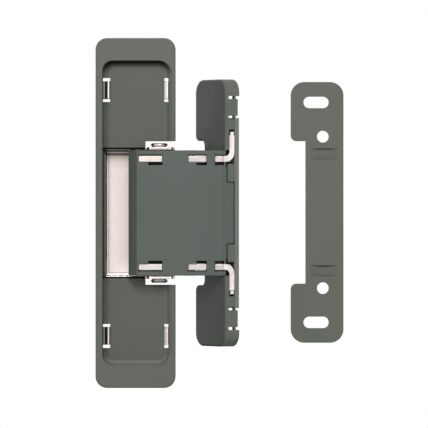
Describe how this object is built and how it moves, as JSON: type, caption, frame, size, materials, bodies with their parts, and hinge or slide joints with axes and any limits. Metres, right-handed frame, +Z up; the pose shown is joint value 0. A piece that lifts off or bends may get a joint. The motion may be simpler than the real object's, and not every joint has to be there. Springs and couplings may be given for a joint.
{
  "type": "concealed door hinge",
  "caption": "Concealed door hinge: mortised frame leaf with a steel cup, folding links, curved arm cover, shallow door leaf and a loose door mounting plate, modelled fully open.",
  "frame": {"origin": "centre of the frame leaf's visible face", "axes": "+Z up along the hinge axis, +X across the frame leaf towards the door's side, +Y into the door frame, away from the viewer"},
  "size_m": [0.0992, 0.0429, 0.14],
  "materials": {
    "dark_grey_coating": "fine matt powder coat",
    "dark_grey_plate": "matt coat",
    "grey_back_plate": "matt coat",
    "phosphated_steel": "dark phosphate",
    "nickel_plated_steel": "satin nickel plate",
    "zinc_plated_steel": "zinc plate",
    "pin_steel": "turned",
    "clip_steel": "spring steel"
  },
  "bodies": {
    "frame": {"frame_cover": "dark_grey_coating", "mounting_plate": "dark_grey_plate", "frame_plate": "zinc_plated_steel", "frame_cup": "nickel_plated_steel", "cup_rivets": "nickel_plated_steel", "rear_bracket": "phosphated_steel", "rear_pin": "phosphated_steel", "upper_main_pin": "pin_steel", "upper_pin_washer": "nickel_plated_steel", "upper_left_clip": "clip_steel", "upper_right_clip": "clip_steel", "lower_main_pin": "pin_steel", "lower_pin_washer": "nickel_plated_steel", "lower_left_clip": "clip_steel", "lower_right_clip": "clip_steel"},
    "main_links": {"upper_main_link": "phosphated_steel", "lower_main_link": "phosphated_steel"},
    "rear_links": {"rear_link": "phosphated_steel", "guide_pin": "phosphated_steel"},
    "door_arm": {"arm_cover": "dark_grey_coating", "door_cap": "dark_grey_coating", "door_plate": "grey_back_plate", "leg_rivets": "nickel_plated_steel", "upper_angle_bracket": "nickel_plated_steel", "lower_angle_bracket": "nickel_plated_steel", "upper_link_pin": "pin_steel", "lower_link_pin": "pin_steel"}
  },
  "joints": [
    {"name": "main_link_pivot", "type": "hinge", "parent": "frame", "child": "main_links", "pos_m": [0.0095, 0.006, 0], "axis": [0, 0, 1], "range_deg": [-192, 0]},
    {"name": "door_pivot", "type": "hinge", "parent": "main_links", "child": "door_arm", "pos_m": [0.02175, 0.00115, 0], "axis": [0, 0, 1], "range_deg": [0, 72]},
    {"name": "rear_link_pivot", "type": "hinge", "parent": "frame", "child": "rear_links", "pos_m": [0.0059, 0.0126, 0], "axis": [0, 0, 1], "range_deg": [-189.6, 0]}
  ],
  "couplings": [
    {"joint": "door_pivot", "follows": "main_link_pivot", "ratio": -0.375},
    {"joint": "rear_link_pivot", "follows": "main_link_pivot", "ratio": 0.9875}
  ]
}
